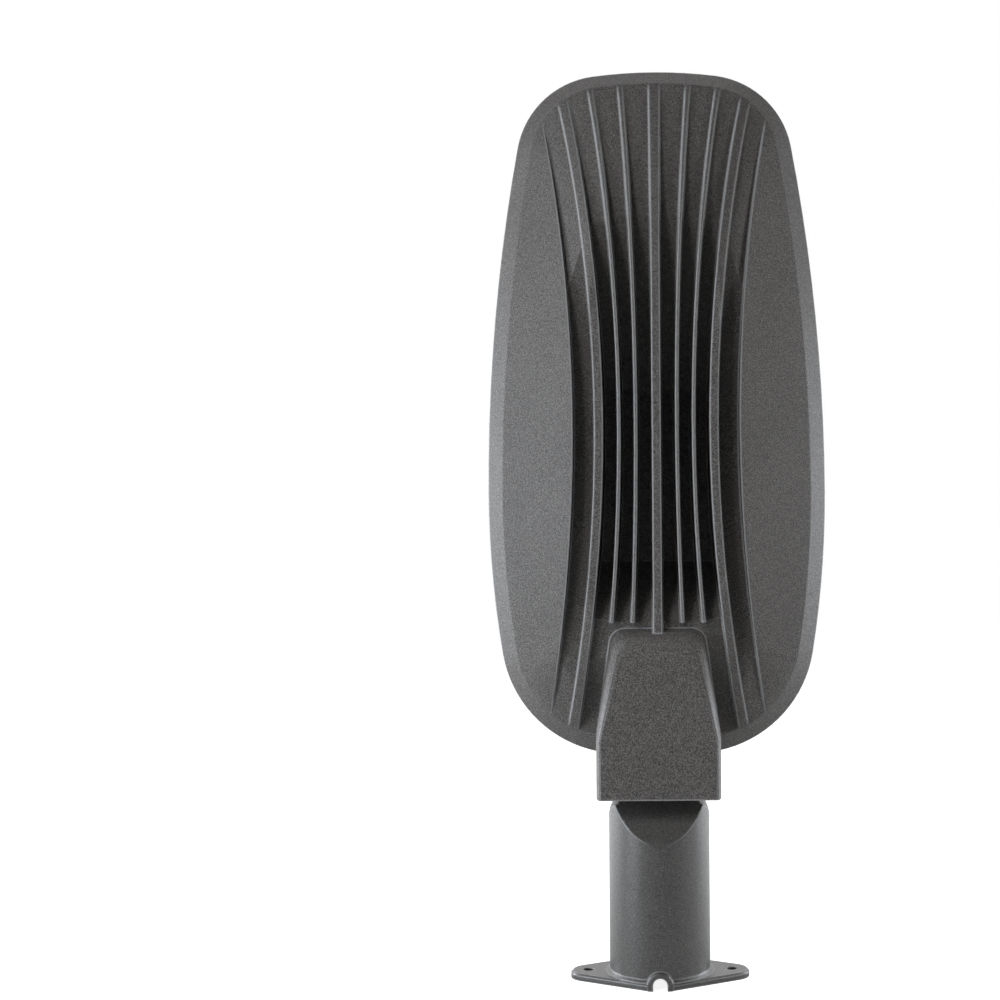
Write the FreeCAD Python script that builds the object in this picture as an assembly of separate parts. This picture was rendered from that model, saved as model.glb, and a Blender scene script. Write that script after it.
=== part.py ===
import FreeCAD, Part
import math
import os

# LED street light head on a tilting spigot sleeve.
# Frame: millimetres, +Z up along the sleeve, origin at the centre of the flange's
# bottom face, cooling ribs towards -Y, lens side towards +Y.

Vec = FreeCAD.Vector
X_DIR = Vec(1, 0, 0)
Y_DIR = Vec(0, 1, 0)
Z_DIR = Vec(0, 0, 1)

# Head outline, seen along Y: three tangent arcs in each quarter
HEAD_WIDTH = 202.3
HEAD_TOP_Z = 541.2
HEAD_BOTTOM_Z = 131.2
WIDEST_Z = 289.0
UPPER_SIDE_R = 1140.0
UPPER_CORNER_R = 53.0
UPPER_END_R = 289.0
LOWER_SIDE_R = 595.0
LOWER_CORNER_R = 72.0
LOWER_END_R = 544.0

# Head depth, along Y
EDGE_Y = 6.0
RIM_Y = -4.0
LENS_SIDE_Y = 22.0
RIM_BEVEL = 9.6
SKIRT_DRAFT = 1.5

# Crowned back: four levels above the rim, from the rim inwards; the channel floors follow
# a lower crown of the same outlines until they dive to their own depth
CROWN_Y = (-12.5, -20.8, -28.4, -30.0)
FLOOR_CROWN_Y = (-10.6, -17.4, -22.6, -24.0)
CROWN_IN = (14.5, 29.0, 42.5, 50.0)
CROWN_TOP_IN = (19.0, 46.0, 80.0, 115.0)
CROWN_BOTTOM_IN = (15.0, 33.0, 56.0, 76.0)
CROWN_CORNER_R = (38.0, 33.0, 29.0, 26.0)
CROWN_END_R = (190.0, 120.0, 85.0, 60.0)

# Cooling ribs: half widths of the waisted pattern and arc radii, from the middle outwards
WAIST_Z = 326.0
RIB_WAIST = (11.9, 21.6, 33.4)
RIB_ARC_R = (2500.0, 1250.0, 926.0)
NARROW_RIB = 2.0
WIDE_RIB = 5.2
CREST_WAIST = 48.4
CREST_ARC_R = 926.0
RIB_DRAFT = 0.6
RIB_FOOT_GAP = 3.5

# Channel floors along Z: smooth curves through named depths
FLOOR_TOP_Y = -27.0
FLOOR_TOP_Z = 470.0
FLOOR_BEND_Y = -17.5
FLOOR_BEND_Z = 418.0
FLOOR_DEEP_Y = -4.6
FLOOR_DEEP_Z = 352.0
FLOOR_TURN_RISE = 34.0
LEDGE_Y = -24.5
OUTER_BEND_Y = -20.5
OUTER_DEEP_Y = -16.5
WELL_Y = -8.5
WELL_Z = 168.0

# Neck hood
HOOD_WIDTH = 72.8
HOOD_TOP_WIDTH = 54.0
HOOD_BOTTOM_Z = 110.5
HOOD_FLARE_Z = 145.0
HOOD_TOP_Z = 209.0
HOOD_TOP_CORNER = 9.0
HOOD_TOP_ROUND = 12.0
HOOD_FRONT_Y = -35.0
HOOD_BACK_Y = 30.0
HOOD_EDGE_R = 2.7
HOOD_UPPER_EDGE_R = 6.5
HOOD_ROUND_DEPTH = 13.0
HOOD_ROUND_LEVELS = 5
HOOD_WALL = 4.8
HOOD_RAMP = 16.0
HOOD_RAMP_STEP = 4.0
NECK_CAVITY_TOP_Z = 172.0

# Lens side: two bays with a bar between them
BAY_INSET = 9.0
BAY_STEP = 8.0
SEAT_DEPTH = 6.0
LED_BAY_FLOOR_Y = 10.0
DRIVER_BAY_FLOOR_Y = 2.0
BAR_Z = 301.0
BAR_WIDTH = 10.0
DRIVER_BAY_BOTTOM_Z = 182.0
BAY_CORNER_R = 8.0
BAR_WIRE_HOLE_D = 5.0
BAR_WIRE_HOLE_X = 62.0

# Lens plate, frame and gasket
GASKET_THICKNESS = 1.2
SCREW_INSET = 3.6
LENS_FLANGE_THICKNESS = 2.4
FRAME_WIDTH = 11.5
PLATE_CLEARANCE = 0.3
LENS_SIZE = 22.0
LENS_TOP_SIZE = 15.0
LENS_HEIGHT = 4.6
LENS_COLUMNS = 4
LENS_ROWS = 6
LENS_PITCH_X = 30.0
LENS_FOOT_MARGIN = 29.0
LENS_TOP_MARGIN = 62.0
LENS_SCREW_ROWS = 2
BOARD_THICKNESS = 1.6
BOARD_MARGIN = 13.0
LED_SIZE = 3.5
LED_HEIGHT = 1.2

# Screws
SMALL_SCREW_D = 3.5
SMALL_HEAD = 6.0
SMALL_HEAD_HEIGHT = 2.4
SMALL_SCREW_GRIP = 7.0
BOARD_SCREW_D = 3.0
BOARD_HEAD = 5.5
BOARD_HEAD_HEIGHT = 1.8
BOARD_SCREW_GRIP = 3.0
SCREW_GAP = 0.1
SEAT_GAP = 0.05

# Driver cover
COVER_THICKNESS = 2.8
COVER_RIB_HEIGHT = 1.2
VENT_D = 12.0
VENT_HEAD = 16.0
VENT_HEAD_HEIGHT = 3.0
VENT_X = 48.0
VENT_Z = 214.0

# Driver and wiring parts
DRIVER_LENGTH = 112.0
DRIVER_HEIGHT = 46.0
DRIVER_DEPTH = 15.4
DRIVER_X = -10.0
DRIVER_GAP = 2.0
DRIVER_EAR = 7.0
DRIVER_EAR_THICKNESS = 2.0
TERMINAL_LENGTH = 44.0
TERMINAL_HEIGHT = 18.0
TERMINAL_DEPTH = 13.0
TERMINAL_X = -42.0
TERMINAL_Z = 214.0
TERMINAL_WAYS = 3
SURGE_LENGTH = 34.0
SURGE_HEIGHT = 22.0
SURGE_DEPTH = 14.0
SURGE_X = 30.0
SURGE_Z = 206.0
EARTH_X = -8.0
EARTH_Z = 196.0

# Cable gland between the neck and the driver bay
GLAND_THREAD_D = 12.0
GLAND_HEX = 15.6
GLAND_HEX_HEIGHT = 5.0
GLAND_CAP_HEX = 13.6
GLAND_CAP_HEIGHT = 9.0
GLAND_NUT_HEIGHT = 3.4
GLAND_CABLE_D = 6.0
GLAND_Y = 11.0

# Spigot sleeve
SLEEVE_D = 60.0
SLEEVE_BORE_D = 52.0
SLEEVE_BORE_DEPTH = 80.0
WEDGE_FOOT_Z = 83.5
WEDGE_ANGLE = 35.0
WEDGE_ROUND = 9.0
SHOULDER_Z = 96.4
SHOULDER_R = 10.0
TONGUE_WIDTH = 48.0
TONGUE_THICKNESS = 26.0
EAR_THICKNESS = 8.0
FORK_FOOT_Z = 113.0
CABLE_WAY_D = 11.0
CABLE_WAY_X = 9.0
PIVOT_Z = 137.0

# Pivot of the tilt joint
PIVOT_D = 10.0
PIVOT_FIT = 0.05
PIVOT_BOSS_D = 21.0
PIVOT_SIDE_GAP = 0.4
PIVOT_THREAD_LENGTH = 9.5
PIVOT_HEAD_D = 16.0
PIVOT_HEAD_HEIGHT = 5.6
PIVOT_SOCKET_D = 8.0
WASHER_THICKNESS = 1.6
WASHER_D = 17.0

# Wall flange at the foot of the sleeve
FLANGE_LENGTH = 106.3
FLANGE_DEPTH = 66.0
FLANGE_THICKNESS = 4.0
FLANGE_LOBE_R = 11.5
FLANGE_NOSE_R = 14.0
FLANGE_HOLE_PITCH = 85.2
FLANGE_HOLE_D = 6.3
FLANGE_ROOT_R = 2.0
NOTCH_WIDTH = 8.4
NOTCH_HEIGHT = 7.4
NOTCH_RIM = 3.4
NOTCH_RIM_ROUND = 1.5
NOTCH_RIM_SET_BACK = 1.0

# Pole set screws in the sleeve
SET_SCREW_D = 8.0
SET_SCREW_HEAD = 13.0
SET_SCREW_HEAD_HEIGHT = 5.3
SET_SCREW_Z = (24.0, 60.0)
SET_BOSS_D = 17.0
SET_BOSS_HEIGHT = 4.0

# Neck cover on the lens side
NECK_COVER_THICKNESS = 4.0
NECK_COVER_WIDTH = 58.0
NECK_COVER_BOTTOM_Z = 116.0
NECK_COVER_TOP_Z = 176.0
NECK_WINDOW_MARGIN = 9.0
NECK_COVER_CORNER = 6.0

# Working values: how far cuts run past, and a radius that is all but straight
OVERRUN = 5.0
FAR_FRONT_Y = -60.0
STRAIGHT_R = 1e5


def quarter_points(half_width, z_end, side_r, corner_r, end_r, up):
    """Tangent points and arc middles of one quarter, from the widest row to the end."""
    side = Vec(half_width - side_r, 0, WIDEST_Z)
    end = Vec(0, 0, z_end - up * end_r)
    reach_side = side_r - corner_r
    reach_end = end_r - corner_r
    line = end.sub(side)
    span = line.Length
    along = (reach_side ** 2 - reach_end ** 2 + span ** 2) / (2 * span)
    across = math.sqrt(reach_side ** 2 - along ** 2)
    unit = line.multiply(1 / span)
    normal = Vec(-up * unit.z, 0, up * unit.x)
    corner = side.add(Vec(unit).multiply(along)).add(normal.multiply(across))
    side_tangent = side.add(corner.sub(side).normalize().multiply(side_r))
    end_tangent = end.add(corner.sub(end).normalize().multiply(end_r))
    widest = Vec(half_width, 0, WIDEST_Z)
    tip = Vec(0, 0, z_end)
    return (widest, arc_middle(side, widest, side_tangent), side_tangent,
            arc_middle(corner, side_tangent, end_tangent), end_tangent,
            arc_middle(end, end_tangent, tip), tip)


def arc_middle(centre, start, stop):
    """Middle point of the short arc about a centre."""
    radius = start.sub(centre).Length
    halfway = start.add(stop).multiply(0.5).sub(centre)
    return centre.add(halfway.normalize().multiply(radius))


def outline_wire(y, half_width, top_z, bottom_z, upper, lower):
    """Closed head outline in a plane of constant Y; upper and lower are (side, corner, end) radii."""
    top = quarter_points(half_width, top_z, upper[0], upper[1], upper[2], 1)
    bottom = quarter_points(half_width, bottom_z, lower[0], lower[1], lower[2], -1)
    right = [(top[i + 2], top[i + 1], top[i]) for i in (4, 2, 0)]
    right += [(bottom[i], bottom[i + 1], bottom[i + 2]) for i in (0, 2, 4)]
    left = [tuple(Vec(-p.x, 0, p.z) for p in reversed(arc)) for arc in reversed(right)]
    shift = Vec(0, y, 0)
    edges = [Part.Arc(*(p.add(shift) for p in arc)).toShape() for arc in right + left]
    return Part.Wire(edges)


def head_outline(y, inset):
    """Head outline moved inwards by an equal distance all round."""
    upper = (UPPER_SIDE_R - inset, UPPER_CORNER_R - inset, UPPER_END_R - inset)
    lower = (LOWER_SIDE_R - inset, LOWER_CORNER_R - inset, LOWER_END_R - inset)
    return outline_wire(y, HEAD_WIDTH / 2 - inset, HEAD_TOP_Z - inset,
                        HEAD_BOTTOM_Z + inset, upper, lower)


def head_slab(y0, y1, inset):
    """Plate of the head's outline between two depths."""
    return Part.Face(head_outline(y0, inset)).extrude(Vec(0, y1 - y0, 0))


def crown_level(i, y):
    """One level of the crowned back, counted from the rim, at a depth."""
    half_width = HEAD_WIDTH / 2 - RIM_BEVEL - CROWN_IN[i]
    upper = (UPPER_SIDE_R, CROWN_CORNER_R[i], CROWN_END_R[i])
    lower = (LOWER_SIDE_R, CROWN_CORNER_R[i], CROWN_END_R[i])
    return outline_wire(y, half_width, HEAD_TOP_Z - RIM_BEVEL - CROWN_TOP_IN[i],
                        HEAD_BOTTOM_Z + RIM_BEVEL + CROWN_BOTTOM_IN[i], upper, lower)


def crown(depths):
    """Crowned solid that starts on the rim's inner line and rises through its levels."""
    levels = [head_outline(RIM_Y, RIM_BEVEL)]
    levels += [crown_level(i, y) for i, y in enumerate(depths)]
    return Part.makeLoft(levels, True, False)


def box(x0, x1, y0, y1, z0, z1):
    """Box between two corners."""
    return Part.makeBox(x1 - x0, y1 - y0, z1 - z0, Vec(x0, y0, z0))


def rounded_plate(x0, x1, y0, y1, z0, z1, radius):
    """Box whose four edges along Y are rounded."""
    solid = box(x0, x1, y0, y1, z0, z1)
    edges = [e for e in solid.Edges if abs(e.tangentAt(e.FirstParameter).y) > 0.99]
    return solid.makeFillet(radius, edges)


def rod_y(x, z, radius, y0, y1):
    """Cylinder along Y between two depths."""
    return Part.makeCylinder(radius, y1 - y0, Vec(x, y0, z), Y_DIR)


def prism_from_yz(points, x0, x1):
    """Closed polygon of (y, z) points, extruded along X."""
    corners = [Vec(x0, y, z) for y, z in points]
    return Part.Face(Part.makePolygon(corners + corners[:1])).extrude(Vec(x1 - x0, 0, 0))


def pattern_x(waist, arc_r, z):
    """Half width of a waisted rib line at one height."""
    return waist + arc_r - math.sqrt(arc_r ** 2 - (z - WAIST_Z) ** 2)


def pattern_arc(y, side, waist, arc_r, shift, z0, z1):
    """Arc edge of a rib line moved outwards by a shift, from z0 to z1."""
    points = [Vec(side * (pattern_x(waist, arc_r, z) + shift), y, z) for z in (z0, (z0 + z1) / 2, z1)]
    return Part.Arc(*points).toShape()


def rib_lines():
    """Rib lines of one half, from the middle rib outwards: (waist, arc radius, half thickness)."""
    lines = [(0.0, STRAIGHT_R, WIDE_RIB / 2)]
    lines += [(w, r, NARROW_RIB / 2) for w, r in zip(RIB_WAIST[:2], RIB_ARC_R[:2])]
    lines.append((RIB_WAIST[2], RIB_ARC_R[2], WIDE_RIB / 2))
    lines.append((CREST_WAIST, CREST_ARC_R, 0.0))
    return lines


def channel_wire(y, side, inner, outer, z0, z1, draft):
    """Outline of the channel between two rib lines, narrowed by the draft."""
    a = pattern_arc(y, side, inner[0], inner[1], inner[2] + draft, z0, z1)
    b = pattern_arc(y, side, outer[0], outer[1], -outer[2] - draft, z1, z0)
    end_top = Part.makeLine(a.valueAt(a.LastParameter), b.valueAt(b.FirstParameter))
    end_foot = Part.makeLine(b.valueAt(b.LastParameter), a.valueAt(a.FirstParameter))
    return Part.Wire([a, end_top, b, end_foot])


def channel(side, inner, outer, z0, z1):
    """Channel between two ribs: wider at the mouth than at the floor."""
    mouth = channel_wire(FAR_FRONT_Y, side, inner, outer, z0, z1, -RIB_DRAFT)
    foot = channel_wire(0.0, side, inner, outer, z0, z1, RIB_DRAFT)
    return Part.makeLoft([mouth, foot], True, True)


def rib_foot_z():
    """Height where the narrow ribs end, above the hood."""
    return HOOD_TOP_Z + RIB_FOOT_GAP


def under_floor(places):
    """Metal behind a curved channel floor; places are (depth, height) from the top downwards."""
    points = [Vec(-HEAD_WIDTH, y, z) for y, z in places]
    curve = Part.BSplineCurve()
    curve.interpolate(points)
    top = Vec(-HEAD_WIDTH, LENS_SIDE_Y, points[0].z)
    foot = Vec(-HEAD_WIDTH, LENS_SIDE_Y, points[-1].z)
    edges = [curve.toShape(), Part.makeLine(points[-1], foot),
             Part.makeLine(foot, top), Part.makeLine(top, points[0])]
    return Part.Face(Part.Wire(edges)).extrude(Vec(2 * HEAD_WIDTH, 0, 0))


def inner_floor():
    """Floor between the ribs: it dives below the crown, runs deep and climbs to the ledge and well."""
    turn_z = rib_foot_z() + FLOOR_TURN_RISE
    return under_floor([(FAR_FRONT_Y, HEAD_TOP_Z), (FLOOR_TOP_Y, FLOOR_TOP_Z),
                        (FLOOR_BEND_Y, FLOOR_BEND_Z), (FLOOR_DEEP_Y, FLOOR_DEEP_Z),
                        (FLOOR_DEEP_Y, turn_z), (LEDGE_Y, HOOD_TOP_Z), (WELL_Y, WELL_Z),
                        (WELL_Y, HEAD_BOTTOM_Z)])


def outer_floor():
    """Floor between the outermost ribs and the cheeks: shallower, and level down to the rim."""
    return under_floor([(FAR_FRONT_Y, HEAD_TOP_Z), (FLOOR_TOP_Y, FLOOR_TOP_Z),
                        (OUTER_BEND_Y, FLOOR_BEND_Z), (OUTER_DEEP_Y, FLOOR_DEEP_Z),
                        (OUTER_DEEP_Y, HOOD_TOP_Z), (WELL_Y, HEAD_BOTTOM_Z)])


def rib_channels():
    """All channels of the waisted pattern and the wells beside the hood, down to their floors."""
    lines = rib_lines()
    top_z = HEAD_TOP_Z + OVERRUN
    foot_z = rib_foot_z()
    inner = []
    outer = []
    for side in (-1, 1):
        inner += [channel(side, a, b, foot_z, top_z) for a, b in zip(lines[:3], lines[1:4])]
        inner.append(channel(side, lines[0], lines[3], HEAD_BOTTOM_Z, foot_z))
        outer.append(channel(side, lines[3], lines[4], HEAD_BOTTOM_Z, top_z))
    pocket = head_slab(FAR_FRONT_Y, RIM_Y, RIM_BEVEL)
    floor_crown = crown(FLOOR_CROWN_Y)
    inner_space = pocket.cut(inner_floor().common(floor_crown))
    outer_space = pocket.cut(outer_floor().common(floor_crown))
    return [cut.common(inner_space) for cut in inner] + [cut.common(outer_space) for cut in outer]


def head_shell():
    """Rim, skirt and crowned back of the head, still solid."""
    skirt = [head_outline(RIM_Y, RIM_BEVEL), head_outline(EDGE_Y, 0),
             head_outline(LENS_SIDE_Y, SKIRT_DRAFT)]
    return Part.makeLoft(skirt, True, True).fuse(crown(CROWN_Y))


def hood_level(y, share):
    """Outline of the hood at one depth; the share says how much of its edge rounding is cut away."""
    side_in = HOOD_EDGE_R * share
    upper_in = HOOD_UPPER_EDGE_R * share
    half = HOOD_WIDTH / 2 - side_in
    top_half = HOOD_TOP_WIDTH / 2 - upper_in
    top_z = HOOD_TOP_Z - HOOD_TOP_ROUND * share
    slope = (half - top_half) / (top_z - HOOD_FLARE_Z)
    round_x = top_half + slope * HOOD_TOP_CORNER
    corner_x = top_half - 0.2 * HOOD_TOP_CORNER
    right = [Vec(half, y, HOOD_BOTTOM_Z), Vec(half, y, HOOD_FLARE_Z),
             Vec(round_x, y, top_z - HOOD_TOP_CORNER), Vec(corner_x, y, top_z - 0.25 * HOOD_TOP_CORNER),
             Vec(top_half - HOOD_TOP_CORNER, y, top_z)]
    left = [Vec(-p.x, p.y, p.z) for p in right]
    edges = [Part.makeLine(right[0], right[1]), Part.makeLine(right[1], right[2]),
             Part.Arc(right[2], right[3], right[4]).toShape(), Part.makeLine(right[4], left[4]),
             Part.Arc(left[4], left[3], left[2]).toShape(), Part.makeLine(left[2], left[1]),
             Part.makeLine(left[1], left[0]), Part.makeLine(left[0], right[0])]
    return Part.Wire(edges)


def hood():
    """Neck hood: its edges are rounded widely above and little below, with a ramp on the lens side."""
    levels = []
    for i in range(HOOD_ROUND_LEVELS + 1):
        angle = math.pi / 2 * i / HOOD_ROUND_LEVELS
        y = HOOD_FRONT_Y + HOOD_ROUND_DEPTH * (1 - math.cos(angle))
        levels.append(hood_level(y, 1 - math.sin(angle)))
    front = Part.makeLoft(levels, True, True)
    back = Part.Face(levels[-1]).extrude(Vec(0, HOOD_BACK_Y - HOOD_FRONT_Y - HOOD_ROUND_DEPTH, 0))
    ramp_foot = NECK_CAVITY_TOP_Z + HOOD_WALL + HOOD_RAMP_STEP
    ramp_top = ramp_foot + HOOD_RAMP
    above = [(LENS_SIDE_Y, ramp_top), (LENS_SIDE_Y, HOOD_TOP_Z + OVERRUN),
             (HOOD_BACK_Y + OVERRUN, HOOD_TOP_Z + OVERRUN), (HOOD_BACK_Y + OVERRUN, ramp_foot),
             (HOOD_BACK_Y, ramp_foot)]
    return front.fuse(back).cut(prism_from_yz(above, -HEAD_WIDTH, HEAD_WIDTH))


def neck_cavity():
    """Hollow of the neck, with its window on the lens side."""
    half = HOOD_WIDTH / 2 - HOOD_WALL
    hollow = rounded_plate(-half, half, HOOD_FRONT_Y + HOOD_WALL, HOOD_BACK_Y - HOOD_WALL,
                           HOOD_BOTTOM_Z - 20, NECK_CAVITY_TOP_Z, BAY_CORNER_R)
    window = rounded_plate(-NECK_COVER_WIDTH / 2 + NECK_WINDOW_MARGIN,
                           NECK_COVER_WIDTH / 2 - NECK_WINDOW_MARGIN, 0, HOOD_BACK_Y + OVERRUN,
                           NECK_COVER_BOTTOM_Z + NECK_WINDOW_MARGIN,
                           NECK_COVER_TOP_Z - NECK_WINDOW_MARGIN, NECK_COVER_CORNER)
    return [hollow, window]


def pivot_bosses():
    """Bosses inside the hood that carry the pivot screws."""
    wall_x = HOOD_WIDTH / 2 - HOOD_WALL
    start = TONGUE_WIDTH / 2 + PIVOT_SIDE_GAP
    length = wall_x - start + 1
    bosses = []
    for side in (-1, 1):
        bosses.append(Part.makeCylinder(PIVOT_BOSS_D / 2, length, Vec(side * start, 0, PIVOT_Z),
                                        Vec(side, 0, 0)))
    return bosses


def pivot_bores():
    """Blind threaded bores for the pivot screws, from the inside of the hood."""
    start = TONGUE_WIDTH / 2
    bores = []
    for side in (-1, 1):
        bores.append(Part.makeCylinder(PIVOT_D / 2 + SCREW_GAP, PIVOT_THREAD_LENGTH + 1,
                                       Vec(side * start, 0, PIVOT_Z), Vec(side, 0, 0)))
    return bores


def led_bay_face_slab(y0, y1, inset):
    """Slab of the LED bay's outline between two depths."""
    foot = BAR_Z + BAR_WIDTH / 2 + inset - BAY_INSET
    block = rounded_plate(-HEAD_WIDTH, HEAD_WIDTH, y0, y1, foot, HEAD_TOP_Z + HEAD_WIDTH, BAY_CORNER_R)
    return head_slab(y0, y1, inset).common(block)


def driver_bay_slab(y0, y1, inset):
    """Slab of the driver bay's outline between two depths."""
    step = inset - BAY_INSET
    block = box(-HEAD_WIDTH, HEAD_WIDTH, y0, y1, DRIVER_BAY_BOTTOM_Z + step,
                BAR_Z - BAR_WIDTH / 2 - step)
    return head_slab(y0, y1, inset).common(block)


def outline_half_width(z, inset):
    """Half width of the inset head outline at one height, on a side arc or the upper corner arc."""
    half = HEAD_WIDTH / 2
    side_r = UPPER_SIDE_R if z > WIDEST_Z else LOWER_SIDE_R
    quarter = quarter_points(half, HEAD_TOP_Z, UPPER_SIDE_R, UPPER_CORNER_R, UPPER_END_R, 1)
    if z <= quarter[2].z:
        return half - side_r + math.sqrt((side_r - inset) ** 2 - (z - WIDEST_Z) ** 2)
    centre = Part.Arc(quarter[2], quarter[3], quarter[4]).toShape().Curve.Center
    return centre.x + math.sqrt((UPPER_CORNER_R - inset) ** 2 - (z - centre.z) ** 2)


def rows_of_screws(foot_z, top_z, rows):
    """Screw places in rows up both sides of a bay, on its screw line."""
    inset = BAY_INSET + SCREW_INSET
    places = []
    for i in range(rows):
        z = foot_z + (top_z - foot_z) * i / (rows - 1)
        x = outline_half_width(z, inset)
        places += [(-x, z), (x, z)]
    return places


def lens_screw_places():
    """Screw places round the lens frame: rows up both sides and a pair at the top."""
    foot_z = BAR_Z + BAR_WIDTH / 2 + SCREW_INSET
    top_z = HEAD_TOP_Z - BAY_INSET - SCREW_INSET
    side_top_z = foot_z + (top_z - foot_z) * LENS_SCREW_ROWS / (LENS_SCREW_ROWS + 1)
    pair_x = UPPER_CORNER_R / 2
    pair_z = top_z - UPPER_END_R + math.sqrt(UPPER_END_R ** 2 - pair_x ** 2)
    return rows_of_screws(foot_z, side_top_z, LENS_SCREW_ROWS) + [(-pair_x, pair_z), (pair_x, pair_z)]


def cover_screw_places():
    """Screw places in the corners of the driver cover."""
    foot_z = DRIVER_BAY_BOTTOM_Z + SCREW_INSET
    top_z = BAR_Z - BAR_WIDTH / 2 - SCREW_INSET
    return rows_of_screws(foot_z, top_z, 2)


def board_screw_places():
    """Screw places of the LED board, between the two middle rows of lenses."""
    middle = (LENS_ROWS - 1) / 2
    return [(side * LENS_PITCH_X, lens_row_z(middle)) for side in (-1, 1)]


def driver_z():
    """Middle height of the driver, just below the bar's foot."""
    return BAR_Z - BAR_WIDTH / 2 - BAY_STEP - DRIVER_GAP - DRIVER_HEIGHT / 2


def driver_screw_places():
    """Screw places in the driver's two ears."""
    x = DRIVER_LENGTH / 2 + DRIVER_EAR / 2
    return [(DRIVER_X - x, driver_z()), (DRIVER_X + x, driver_z())]


def neck_screw_places():
    """Screw places at the foot and the top of the neck cover."""
    z0 = NECK_COVER_BOTTOM_Z + NECK_WINDOW_MARGIN / 2
    z1 = NECK_COVER_TOP_Z - NECK_WINDOW_MARGIN / 2
    return [(0, z0), (0, z1)]


def tapped_holes():
    """Blind holes for every screw that goes into the housing from the lens side."""
    seat_y = LENS_SIDE_Y - SEAT_DEPTH
    small_r = SMALL_SCREW_D / 2 + SCREW_GAP
    tiny_r = BOARD_SCREW_D / 2 + SCREW_GAP
    holes = []
    for x, z in lens_screw_places() + cover_screw_places():
        holes.append(rod_y(x, z, small_r, seat_y - SMALL_SCREW_GRIP, LENS_SIDE_Y))
    for x, z in neck_screw_places():
        holes.append(rod_y(x, z, tiny_r, HOOD_BACK_Y - HOOD_WALL + 0.8, HOOD_BACK_Y + 1))
    for x, z in board_screw_places():
        holes.append(rod_y(x, z, tiny_r, LED_BAY_FLOOR_Y - BOARD_SCREW_GRIP, LED_BAY_FLOOR_Y + 1))
    for x, z in driver_screw_places() + [(EARTH_X, EARTH_Z)]:
        holes.append(rod_y(x, z, tiny_r, DRIVER_BAY_FLOOR_Y - BOARD_SCREW_GRIP, DRIVER_BAY_FLOOR_Y + 1))
    return holes


def housing():
    """Die-cast housing: rim, crowned back with waisted ribs, hood and the two bays."""
    body = head_shell().cut(rib_channels()).fuse(hood())
    seat_y = LENS_SIDE_Y - SEAT_DEPTH
    cuts = neck_cavity()
    cuts.append(led_bay_face_slab(seat_y, LENS_SIDE_Y + OVERRUN, BAY_INSET))
    cuts.append(led_bay_face_slab(LED_BAY_FLOOR_Y, seat_y + 1, BAY_INSET + BAY_STEP))
    cover_seat_y = LENS_SIDE_Y - COVER_THICKNESS - GASKET_THICKNESS
    cuts.append(driver_bay_slab(cover_seat_y, LENS_SIDE_Y + OVERRUN, BAY_INSET))
    cuts.append(driver_bay_slab(DRIVER_BAY_FLOOR_Y, cover_seat_y + 1, BAY_INSET + BAY_STEP))
    body = body.cut(cuts).fuse(pivot_bosses())
    wire_y = (LED_BAY_FLOOR_Y + seat_y) / 2
    wire_hole = Part.makeCylinder(BAR_WIRE_HOLE_D / 2, 40, Vec(BAR_WIRE_HOLE_X, wire_y, BAR_Z - 20), Z_DIR)
    gland_hole = Part.makeCylinder(GLAND_THREAD_D / 2 + SCREW_GAP, 30,
                                   Vec(0, GLAND_Y, NECK_CAVITY_TOP_Z - OVERRUN), Z_DIR)
    return body.cut(pivot_bores() + [wire_hole, gland_hole] + tapped_holes()).removeSplitter()


def hex_prism(centre, direction, across, height):
    """Hexagonal prism with its first face on a point, along a direction."""
    circle = Part.makeCircle(across / math.sqrt(3), centre, direction)
    corners = [circle.valueAt(circle.FirstParameter + i * math.pi / 3) for i in range(6)]
    return Part.Face(Part.makePolygon(corners + corners[:1])).extrude(Vec(direction).multiply(height))


def hexagon_screw(x, z, seat_y, shank_d, grip, across, head_height):
    """Small hexagon-headed screw driven from the lens side."""
    head = hex_prism(Vec(x, seat_y + SEAT_GAP, z), Y_DIR, across, head_height)
    return head.fuse(rod_y(x, z, shank_d / 2, seat_y + SEAT_GAP - grip, seat_y + SEAT_GAP))


def shoulder_screw(seat, direction):
    """Large screw of the tilt joint, with a hexagon socket in its head."""
    length = EAR_THICKNESS + WASHER_THICKNESS + PIVOT_THREAD_LENGTH
    shank = Part.makeCylinder(PIVOT_D / 2, length, seat, Vec(direction).multiply(-1))
    screw = Part.makeCylinder(PIVOT_HEAD_D / 2, PIVOT_HEAD_HEIGHT, seat, direction).fuse(shank)
    floor = seat.add(Vec(direction).multiply(PIVOT_HEAD_HEIGHT * 0.4))
    return screw.cut(hex_prism(floor, direction, PIVOT_SOCKET_D, PIVOT_HEAD_HEIGHT))


def small_screws(places, seat_y, grip):
    """Group of small screws for the covers and the lens frame."""
    return Part.makeCompound([hexagon_screw(x, z, seat_y, SMALL_SCREW_D, grip, SMALL_HEAD,
                                            SMALL_HEAD_HEIGHT) for x, z in places])


def tiny_screws(places, seat_y, grip):
    """Group of the smallest screws, for boards and inner parts."""
    return Part.makeCompound([hexagon_screw(x, z, seat_y, BOARD_SCREW_D, grip, BOARD_HEAD,
                                            BOARD_HEAD_HEIGHT) for x, z in places])


def lens_stack():
    """Depths of the lens stack: gasket seat, plate seat, frame seat and frame face."""
    seat_y = LENS_SIDE_Y - SEAT_DEPTH
    plate_y = seat_y + GASKET_THICKNESS
    frame_y = plate_y + LENS_FLANGE_THICKNESS
    return seat_y, plate_y, frame_y, LENS_SIDE_Y


def lens_row_z(row):
    """Height of one row of lenses, spread evenly over the LED bay."""
    first = BAR_Z + LENS_FOOT_MARGIN
    last = HEAD_TOP_Z - LENS_TOP_MARGIN
    return first + (last - first) * row / (LENS_ROWS - 1)


def led_places():
    """Places of the LEDs and of their lenses."""
    first_x = -LENS_PITCH_X * (LENS_COLUMNS - 1) / 2
    return [(first_x + c * LENS_PITCH_X, lens_row_z(r))
            for r in range(LENS_ROWS) for c in range(LENS_COLUMNS)]


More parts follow.
